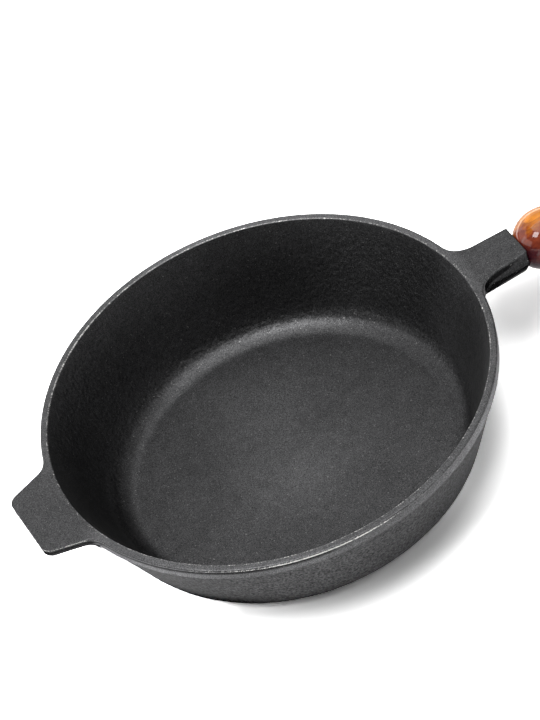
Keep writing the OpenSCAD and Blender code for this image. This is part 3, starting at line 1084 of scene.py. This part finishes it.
def wrapped_strip(tree, rows, columns, shape):
    """A sheet wrapped round the rod's axis. Shape gives each point's place along X and its radius."""
    size = {"Size X": 1.0, "Size Y": 1.0, "Vertices X": rows, "Vertices Y": columns}
    sheet = put(tree, "GeometryNodeMeshGrid", size).outputs["Mesh"]
    place = put(tree, "GeometryNodeInputPosition").outputs[0]
    along = calc(tree, "ADD", coordinate(tree, place, 0), 0.5)
    turn = calc(tree, "ADD", coordinate(tree, place, 1), 0.5)
    x, radius = shape(along, turn)
    swing = calc(tree, "MULTIPLY", turn, 2 * math.pi)
    side = calc(tree, "MULTIPLY", radius, calc(tree, "SINE", swing))
    rise = calc(tree, "MULTIPLY_ADD", radius, calc(tree, "COSINE", swing), rod_axis_z)
    target = put(tree, "ShaderNodeCombineXYZ", {0: x, 1: side, 2: rise}).outputs[0]
    return put(tree, "GeometryNodeSetPosition", {"Geometry": sheet, "Position": target})


def close_tree(tree, parts, material):
    """Joins the parts, welds their seams, and ends the tree with real geometry and its material."""
    joined = put(tree, "GeometryNodeJoinGeometry")
    for part in parts:
        tree.links.new(part.outputs[0], joined.inputs[0])
    seams = {"Geometry": joined.outputs[0], "Distance": SEAM_DISTANCE}
    welded = put(tree, "GeometryNodeMergeByDistance", seams)
    real = put(tree, "GeometryNodeRealizeInstances", {"Geometry": welded.outputs[0]})
    dressed = put(tree, "GeometryNodeSetMaterial", {"Geometry": real.outputs[0], "Material": material})
    tree.links.new(dressed.outputs[0], tree.nodes.new("NodeGroupOutput").inputs[0])


def grown(name, tree, values, sharp=math.radians(40)):
    """A plain mesh object grown by a Geometry Nodes tree from these values."""
    obj = mesh_object(name, [], [])
    modifier = obj.modifiers.new("Rule", "NODES")
    modifier.node_group = tree
    for item in tree.interface.items_tree:
        if item.in_out == "INPUT":
            modifier[item.identifier] = values[item.name]
    bake_modifiers(obj)
    tidy_mesh(obj)
    obj.data.set_sharp_from_angle(angle=sharp)
    return obj


def swell(tree, at, start, stop):
    """Runs smoothly from 0 to 1 as a place passes from start to stop."""
    span = calc(tree, "SUBTRACT", stop, start)
    t = calc(tree, "DIVIDE", calc(tree, "SUBTRACT", at, start), span, clamp=True)
    half_turn = calc(tree, "COSINE", calc(tree, "MULTIPLY", t, math.pi))
    return calc(tree, "MULTIPLY_ADD", half_turn, -0.5, 0.5)


def between(tree, share_along, start, stop):
    """A value on the straight way from start to stop."""
    return calc(tree, "MULTIPLY_ADD", share_along, calc(tree, "SUBTRACT", stop, start), start)


def straight(tree, x0, r0, x1, r1):
    """The shape of a strip that runs straight from one place and radius to another."""
    return lambda along, turn: (between(tree, along, x0, x1), between(tree, along, r0, r1))


def grip_tree(values, material):
    """The turned grip: its swelling outline, the spigot at its tail and the bore through it."""
    tree, size = rule_tree("turned_grip", values)
    steps = size["Steps Round"]
    seat = calc(tree, "POWER", calc(tree, "DIVIDE", size["Seat Radius"], size["Bulb Radius"]), 2.0)
    nose = calc(tree, "DIVIDE", size["Bulb Place"], calc(tree, "SQRT", calc(tree, "SUBTRACT", 1.0, seat)))

    def outline(along, turn):
        """The place and radius at this share of the grip's length."""
        at = calc(tree, "MULTIPLY", along, size["Length"])
        radius = size["Bulb Radius"]
        stages = (("Bulb Place", "Neck Place", "Bulb Radius", "Neck Radius"),
                  ("Neck Place", "Belly Place", "Neck Radius", "Belly Radius"),
                  ("Belly Place", "Length", "Belly Radius", "Tail Radius"))
        for start, stop, before, after in stages:
            change = calc(tree, "SUBTRACT", size[after], size[before])
            radius = calc(tree, "MULTIPLY_ADD", change, swell(tree, at, size[start], size[stop]), radius)
        ahead = calc(tree, "MAXIMUM", calc(tree, "SUBTRACT", size["Bulb Place"], at), 0.0)
        bend = calc(tree, "POWER", calc(tree, "DIVIDE", ahead, nose), 2.0)
        radius = calc(tree, "MULTIPLY", radius, calc(tree, "SQRT", calc(tree, "SUBTRACT", 1.0, bend)))
        return calc(tree, "ADD", at, grip_low.x), radius

    tail_x = calc(tree, "ADD", size["Length"], grip_low.x)
    spigot_r, bore_r = size["Spigot Radius"], size["Bore Radius"]
    corners = ((tail_x, size["Tail Radius"]), (tail_x, spigot_r), (grip_high.x, spigot_r),
               (grip_high.x, bore_r), (grip_low.x, bore_r), (grip_low.x, size["Seat Radius"]))
    parts = [wrapped_strip(tree, OUTLINE_ROWS, steps, outline)]
    for rows, start, stop in zip(INNER_ROWS, corners, corners[1:]):
        parts.append(wrapped_strip(tree, rows, steps, straight(tree, *start, *stop)))
    close_tree(tree, parts, material)
    return tree


# Where a thread's groove starts and where it is deepest, as shares of the pitch from the crest
GROOVE_SHARES = (0.09, 0.42)
SPARE_ROW_SHARE = 0.01
THREAD_RUN_OUT = 1.2 * MM
POINT_SLOPE = 1.3


def thread_tree(values, material):
    """The tie rod: a shank between two rolled threads, whose ridges wind on by one pitch in each turn."""
    tree, size = rule_tree("threaded_rod", values)
    steps = size["Steps Round"]
    pitch = size["Pitch"]
    shank_r = size["Shank Radius"]
    tail_start = calc(tree, "SUBTRACT", rod_high.x, size["Tail Thread"])
    point_r = calc(tree, "SUBTRACT", size["Thread Radius"], size["Chamfer"])
    point_r = calc(tree, "SUBTRACT", point_r, size["Thread Depth"])

    def thread(start, stop, pointed_at_start):
        """A threaded length with a chamfered point at its outer end."""
        outer, inner = (start, stop) if pointed_at_start else (stop, start)
        span = calc(tree, "ADD", pitch, calc(tree, "SUBTRACT", stop, start))
        step = calc(tree, "DIVIDE", pitch, size["Rows A Pitch"])
        rows = calc(tree, "CEIL", calc(tree, "SUBTRACT", calc(tree, "DIVIDE", span, step), SPARE_ROW_SHARE))

        def helix(along, turn):
            """Rows that wind on with the thread, kept between its two ends."""
            x = calc(tree, "MULTIPLY", calc(tree, "MULTIPLY", along, rows), step)
            x = calc(tree, "ADD", x, calc(tree, "SUBTRACT", start, pitch))
            x = calc(tree, "MULTIPLY_ADD", turn, pitch, x)
            x = calc(tree, "MINIMUM", calc(tree, "MAXIMUM", x, start), stop)
            turns = calc(tree, "DIVIDE", calc(tree, "SUBTRACT", x, start), pitch)
            wound = calc(tree, "SUBTRACT", turns, turn)
            groove = ramp(tree, calc(tree, "PINGPONG", wound, 0.5), *GROOVE_SHARES)
            depth = calc(tree, "MULTIPLY", groove, size["Thread Depth"])
            ridge = calc(tree, "MULTIPLY_ADD", depth, -1.0, size["Thread Radius"])
            from_shank = calc(tree, "ABSOLUTE", calc(tree, "SUBTRACT", x, inner))
            from_point = calc(tree, "ABSOLUTE", calc(tree, "SUBTRACT", x, outer))
            radius = between(tree, ramp(tree, from_shank, 0.0, THREAD_RUN_OUT), shank_r, ridge)
            limit = calc(tree, "MULTIPLY_ADD", from_point, POINT_SLOPE, point_r)
            return x, calc(tree, "MINIMUM", radius, limit)

        return wrapped_strip(tree, calc(tree, "ADD", rows, 1.0), steps, helix)

    parts = [
        wrapped_strip(tree, 3, steps, straight(tree, rod_low.x, 0.0, rod_low.x, point_r)),
        thread(rod_low.x, casting_high.x, True),
        wrapped_strip(tree, 8, steps, straight(tree, casting_high.x, shank_r, tail_start, shank_r)),
        thread(tail_start, rod_high.x, False),
        wrapped_strip(tree, 3, steps, straight(tree, rod_high.x, point_r, rod_high.x, 0.0)),
    ]
    close_tree(tree, parts, material)
    return tree


# Heights above the ring's lowest place between which the swelling of its weld ends
WELD_EDGES = (2.03 * MM, 2.12 * MM)


def ring_tree(values, material):
    """The hanging ring: round wire along a circle, a little thicker where its ends are welded."""
    tree, size = rule_tree("wire_ring", values)
    line = {"Resolution": size["Steps Along"], "Radius": size["Ring Radius"]}
    circle = put(tree, "GeometryNodeCurvePrimitiveCircle", line).outputs[0]
    middle = ((ring_low.x + ring_high.x) / 2, 0, (ring_low.z + ring_high.z) / 2)
    upright = {"Rotation": (math.pi / 2, 0, math.pi / 2), "Translation": middle}
    stood = put(tree, "GeometryNodeTransform", {"Geometry": circle, **upright}).outputs[0]
    height = coordinate(tree, put(tree, "GeometryNodeInputPosition").outputs[0], 2)
    weld = ramp(tree, height, ring_low.z + WELD_EDGES[0], ring_low.z + WELD_EDGES[1], 1.0, 0.0)
    radius = calc(tree, "MULTIPLY_ADD", weld, size["Weld Share"], 1.0)
    swollen = put(tree, "GeometryNodeSetCurveRadius", {"Curve": stood, "Radius": radius}).outputs[0]
    section = {"Resolution": size["Steps Round"], "Radius": size["Wire Radius"]}
    wire = put(tree, "GeometryNodeCurvePrimitiveCircle", section).outputs[0]
    sweep = {"Curve": swollen, "Profile Curve": wire, "Scale": radius}
    close_tree(tree, [put(tree, "GeometryNodeCurveToMesh", sweep)], material)
    return tree


class PAN_OT_grip(bpy.types.Operator):
    """Builds the turned wooden grip."""

    bl_idname = "pan.grip"
    bl_label = "Wooden grip"

    def execute(self, context):
        s = context.scene.pan_grip
        material = lacquered_wood(s)
        values = {
            "Seat Radius": s.seat_r, "Bulb Radius": s.bulb_r, "Bulb Place": s.bulb_at,
            "Neck Radius": s.neck_r, "Neck Place": s.neck_at, "Belly Radius": s.belly_r,
            "Belly Place": s.belly_at, "Tail Radius": s.tail_r, "Length": s.length,
            "Spigot Radius": s.spigot_r, "Bore Radius": s.bore_r, "Steps Round": s.steps_round,
        }
        obj = grown("turned_wooden_grip", grip_tree(values, material), values)
        finish_piece(obj, material, "pan", "wooden_grip")
        return {"FINISHED"}


def build_cap(s):
    """The pressed end cap: a cup with softly bent corners and a hole for the rod."""
    outer_r = (cap_high.z - cap_low.z) / 2
    inner_r = outer_r - s.cap_side_t
    inner_x = cap_high.x - s.cap_end_t
    corners = [
        (cap_low.x, inner_r, 0.3 * MM), (cap_low.x, outer_r, 0.35 * MM), (inner_x, outer_r, 1.6 * MM),
        (cap_high.x, s.cap_end_r, 0.6 * MM), (cap_high.x, s.cap_hole_r, 0.35 * MM),
        (inner_x, s.cap_hole_r, 0.2 * MM), (inner_x, inner_r, 0.9 * MM),
    ]
    return turned("pressed_end_cap", rounded(corners, 6), 128)


# How much of the hole's radius lies between the eye's middle and the neck
NECK_START_SHARE = 0.9


def build_eye_nut(s):
    """The nut: flange, barrel and neck turned in one, with a flat eye whose hole has rounded edges."""
    flange_x = nut_low.x + s.flange_t
    barrel_x = flange_x + s.barrel_len
    bore_x = barrel_x - 1 * MM
    eye_x = nut_high.x - s.eye_r
    corners = [
        (nut_low.x, s.nut_bore_r, 0.3 * MM), (nut_low.x, s.flange_r, 0.3 * MM),
        (flange_x, s.flange_r, 0.6 * MM), (flange_x, s.barrel_r, 0.5 * MM),
        (barrel_x, s.barrel_r, 0.7 * MM), (barrel_x, 0.0, 0.0),
        (bore_x, 0.0, 0.0), (bore_x, s.nut_bore_r, 0.2 * MM),
    ]
    body = turned("steel_eye_nut", rounded(corners, 5), 128)
    half = s.eye_t / 2
    eye_corners = [
        (-half, s.eye_hole_r, 0.6 * MM), (half, s.eye_hole_r, 0.6 * MM),
        (half, s.eye_r, 0.8 * MM), (-half, s.eye_r, 0.8 * MM),
    ]
    eye = turned("eye", rounded(eye_corners, 6), 128, "Y", eye_x)
    bm = bmesh.new()
    neck = (s.eye_r - s.eye_hole_r * NECK_START_SHARE, s.eye_t, s.barrel_r)
    place = Matrix.Translation((eye_x - s.eye_hole_r - neck[0] / 2, 0, rod_axis_z))
    bmesh.ops.create_cube(bm, size=1.0, matrix=place @ Matrix.Diagonal((*neck, 1.0)))
    bmesh.ops.bevel(bm, geom=bm.edges, offset=0.5 * MM, segments=3, profile=0.5, affect="EDGES")
    for part in (eye, object_of(bm, "neck")):
        combine(body, part, "UNION")
    for polygon in body.data.polygons:
        polygon.use_smooth = True
    body.data.set_sharp_from_angle(angle=math.radians(35))
    return body


class PAN_OT_steel(bpy.types.Operator):
    """Builds the rod, the end cap, the eye nut and the hanging ring."""

    bl_idname = "pan.steel"
    bl_label = "Steel fittings"

    def execute(self, context):
        s = context.scene.pan_steel
        rod_steel = turned_steel("rod_steel", s, 0.34, 0.3 * MM, (1, 0.1, 0.1))
        rod_values = {
            "Thread Radius": s.rod_r, "Shank Radius": s.shank_r, "Tail Thread": s.tail_thread,
            "Pitch": s.pitch, "Thread Depth": s.thread_depth, "Chamfer": 0.8 * MM,
            "Rows A Pitch": 10, "Steps Round": 41,
        }
        rod = grown("threaded_tie_rod", thread_tree(rod_values, rod_steel), rod_values, math.radians(60))
        finish_piece(rod, rod_steel, "pan", "tie_rod")

        cap_steel = turned_steel("cap_steel", s, 0.2, 0.25 * MM, (1, 0.1, 0.1))
        finish_piece(build_cap(s), cap_steel, "pan", "end_cap")

        nut_steel = turned_steel("nut_steel", s, 0.28, 0.3 * MM, (1, 0.15, 0.15))
        finish_piece(build_eye_nut(s), nut_steel, "pan", "eye_nut")

        ring_steel = turned_steel("ring_steel", s, 0.16, 0.5 * MM, (1, 1, 1))
        ring_values = {
            "Ring Radius": (ring_high.z - ring_low.z) / 2 - s.wire_r, "Wire Radius": s.wire_r,
            "Weld Share": 0.07, "Steps Along": 192, "Steps Round": 32,
        }
        ring = grown("wire_hanging_ring", ring_tree(ring_values, ring_steel), ring_values)
        finish_piece(ring, ring_steel, "ring", "hanging_ring")
        return {"FINISHED"}


def way_to(turn, rise):
    """The way that lies this far round from +X and this far up."""
    return Vector((math.cos(turn) * math.cos(rise), math.sin(turn) * math.cos(rise), math.sin(rise)))


SOFTBOX_DISTANCE = 2.6
FLOOR_HALF_SIZE = 20.0
SENSOR_WIDTH = 36.0

# How high above the horizon the white backdrop starts and stops to fade, as the sine of the angle
HORIZON_EDGES = (0.10, 0.15)

# For each softbox: how far round and how high it stands in degrees, its width and height in metres,
# and its share of the light on the floor
SOFTBOXES = {
    "overhead_softbox": (90, 88, 2.0, 2.0, 0.40),
    "front_left_softbox": (-150, 62, 0.82, 0.82, 0.30),
    "front_left_fill": (-150, 60, 2.0, 2.0, 0.02),
    "front_right_softbox": (-55, 55, 2.0, 2.0, 0.225),
    "back_left_softbox": (140, 30, 2.2, 1.5, 0.088),
    "back_softbox": (85, 48, 2.0, 1.5, 0.060),
    "back_strip": (90, 16, 3.0, 1.3, 0.060),
    "backdrop_strip": (100, 3.5, 4.5, 0.31, 0.012),
    "back_right_softbox": (48, 52, 1.8, 1.8, 0.053),
    "left_strip": (180, 25, 2.0, 1.2, 0.070),
    "right_strip": (0, 25, 1.8, 1.2, 0.033),
}

# Painted shadow: where the camera's lift on the floor is lowered so that the shadow shows: the middle and
# half size of a bar on it, how far from the bar the change starts and stops, and the lift on the bar
PAINTED_SHADOW_PLACES = (
    ((0.001, -0.051, 0.0), (0.0, 0.0, 0.0), 0.045, 0.089, 1.22),
    ((0.020, -0.010, 0.0), (0.0, 0.0, 0.0), 0.078, 0.095, 2.0),
    ((0.231, 0.013, 0.0), (0.08, 0.0, 0.0), 0.013, 0.043, 1.55),
)

# Painted light: the same for the floor under the tab, which is lifted more, so that its shadow is wiped out
PAINTED_LIGHT_UNDER_TAB = ((-0.114, -0.034, 0.0), (0.0, 0.028, 0.0), 0.026, 0.052, 2.3)

# Painted light under the base: how far from its middle the extra lift starts and stops to fade, and the
# extra lift, which lightens the shadow there
PAINTED_LIGHT_BY_BASE = (0.092, 0.098, 1.8)


def softbox(name, turn, rise, width, height, light_share):
    """A soft lamp that faces the pan and gives the floor this share of a full, plain light."""
    lamp = bpy.data.lights.new(name, "AREA")
    lamp.shape = "RECTANGLE"
    lamp.size = width
    lamp.size_y = height
    lamp.energy = light_share * (math.pi * SOFTBOX_DISTANCE) ** 2 / math.sin(rise)
    way = way_to(turn, rise)
    facing = way.to_track_quat("Z", "Y").to_matrix().to_4x4()
    linked(name, lamp).matrix_world = Matrix.Translation(way * SOFTBOX_DISTANCE) @ facing


def set_camera(scene, s):
    """A camera that looks at the rim's level from the set direction, rolled about its line of sight."""
    camera = bpy.data.cameras.new("camera")
    camera.sensor_fit = "AUTO"
    camera.sensor_width = SENSOR_WIDTH
    camera.lens = s.lens
    back = way_to(s.azimuth - math.pi / 2, s.elevation)
    level = (-back).to_track_quat("-Z", "Y").to_matrix().to_4x4()
    aim = Vector((s.aim_x, s.aim_y, casting_high.z))
    scene.camera = linked("camera", camera)
    scene.camera.matrix_world = (
        Matrix.Translation(aim + back * s.distance) @ level @ Matrix.Rotation(s.roll, 4, "Z"))


class PAN_OT_stage(bpy.types.Operator):
    """Sets the camera, the floor, the lamps and the sky."""

    bl_idname = "pan.stage"
    bl_label = "Stage"

    def execute(self, context):
        s = context.scene.pan_stage
        set_camera(context.scene, s)
        bm = bmesh.new()
        bmesh.ops.create_grid(bm, x_segments=1, y_segments=1, size=FLOOR_HALF_SIZE)
        floor = object_of(bm, "floor")
        floor.data.materials.append(pale_floor(s))

        for name, (turn, rise, width, height, lamp_share) in SOFTBOXES.items():
            softbox(name, math.radians(turn), math.radians(rise), width, height, lamp_share * s.light)
        light_sky(context.scene, s)
        context.scene.view_settings.view_transform = "Standard"
        return {"FINISHED"}


def away_from(tree, at, place, half_size):
    """How far a point of the floor lies from a bar, or from a point where the half size is nought."""
    apart = vector(tree, "ABSOLUTE", vector(tree, "SUBTRACT", at, place))
    return from_origin(tree, vector(tree, "MAXIMUM", vector(tree, "SUBTRACT", apart, half_size), (0, 0, 0)))


def pale_floor(s):
    """A white matt floor. The camera sees it lifted to white, less so at listed places, which paints the
    shadow in there, and more so under the tab and by the base, which paints light over the shadow.
    """
    material = bpy.data.materials.new("pale_floor")
    material.use_nodes = True
    tree = material.node_tree
    tree.nodes.clear()
    at = put(tree, "ShaderNodeTexCoord").outputs["Object"]
    lift_here = s.floor_lift
    for place, half_size, start, stop, low in PAINTED_SHADOW_PLACES:
        apart = away_from(tree, at, place, half_size)
        shaded = ramp(tree, apart, start, stop, low * s.shadow_lift, s.floor_lift,
                      interpolation_type="SMOOTHSTEP")
        lift_here = calc(tree, "MINIMUM", lift_here, shaded)
    place, half_size, start, stop, high = PAINTED_LIGHT_UNDER_TAB
    under_tab = away_from(tree, at, place, half_size)
    shadow_painted_out = ramp(tree, under_tab, start, stop, high * s.floor_lift, s.shadow_lift)
    lift_here = calc(tree, "MAXIMUM", lift_here, shadow_painted_out)
    start, stop, high = PAINTED_LIGHT_BY_BASE
    lift_here = calc(tree, "MULTIPLY", lift_here, ramp(tree, from_origin(tree, at), start, stop, high, 1.0))
    ray = put(tree, "ShaderNodeLightPath").outputs
    mirrored = calc(tree, "MAXIMUM", ray["Is Glossy Ray"], ray["Is Transmission Ray"])
    level = calc(tree, "MULTIPLY_ADD", ray["Is Camera Ray"], calc(tree, "SUBTRACT", lift_here, 1.0), 1.0)
    level = calc(tree, "MULTIPLY_ADD", mirrored, s.mirror_lift - 1, level)
    matt = put(tree, "ShaderNodeBsdfDiffuse", {"Color": scaled(tree, s.floor_colour, level)})
    put(tree, "ShaderNodeOutputMaterial", {"Surface": matt.outputs[0]})
    return material


def light_sky(scene, s):
    """A studio that is white along the horizon and dim overhead. The camera sees white all round."""
    world = bpy.data.worlds.new("sky")
    world.use_nodes = True
    tree = world.node_tree
    tree.nodes.clear()
    height = coordinate(tree, put(tree, "ShaderNodeTexCoord").outputs["Generated"], 2)
    level = ramp(tree, height, *HORIZON_EDGES, s.horizon, s.ceiling)
    ray = put(tree, "ShaderNodeLightPath").outputs
    seen = calc(tree, "MAXIMUM", ray["Is Camera Ray"], ray["Is Transmission Ray"])
    sky = put(tree, "ShaderNodeBackground", {"Strength": calc(tree, "MAXIMUM", level, seen)})
    put(tree, "ShaderNodeOutputWorld", {"Surface": sky.outputs[0]})
    scene.world = world


class PAN_PT_panel(bpy.types.Panel):
    """Lists the pan's pieces and their settings."""

    bl_idname = "PAN_PT_panel"
    bl_label = "Cast iron pan"
    bl_space_type = "VIEW_3D"
    bl_region_type = "UI"
    bl_category = "Pan"

    def draw(self, context):
        layout = self.layout
        for operator, owner in OPERATORS:
            layout.operator(operator.bl_idname)
            group = getattr(context.scene, owner)
            for name in group.bl_rna.properties.keys():
                if name not in ("name", "rna_type"):
                    layout.prop(group, name)


OPERATORS = (
    (PAN_OT_casting, "pan_casting"),
    (PAN_OT_grip, "pan_grip"),
    (PAN_OT_steel, "pan_steel"),
    (PAN_OT_stage, "pan_stage"),
)

SETTINGS = {
    "pan_casting": PanCastingSettings,
    "pan_grip": WoodenGripSettings,
    "pan_steel": SteelFittingSettings,
    "pan_stage": StageSettings,
}


def register():
    """Registers the classes and hangs the settings on the scene."""
    for name, group in SETTINGS.items():
        bpy.utils.register_class(group)
        setattr(bpy.types.Scene, name, PointerProperty(type=group))
    for operator, _ in OPERATORS:
        bpy.utils.register_class(operator)
    bpy.utils.register_class(PAN_PT_panel)


def unregister():
    """Takes the classes and the settings away again."""
    bpy.utils.unregister_class(PAN_PT_panel)
    for operator, _ in reversed(OPERATORS):
        bpy.utils.unregister_class(operator)
    for name, group in reversed(SETTINGS.items()):
        delattr(bpy.types.Scene, name)
        bpy.utils.unregister_class(group)


def main():
    """Builds the whole scene."""
    register()
    bpy.ops.pan.casting()
    bpy.ops.pan.grip()
    bpy.ops.pan.steel()
    bpy.ops.pan.stage()


if __name__ == "__main__":
    main()
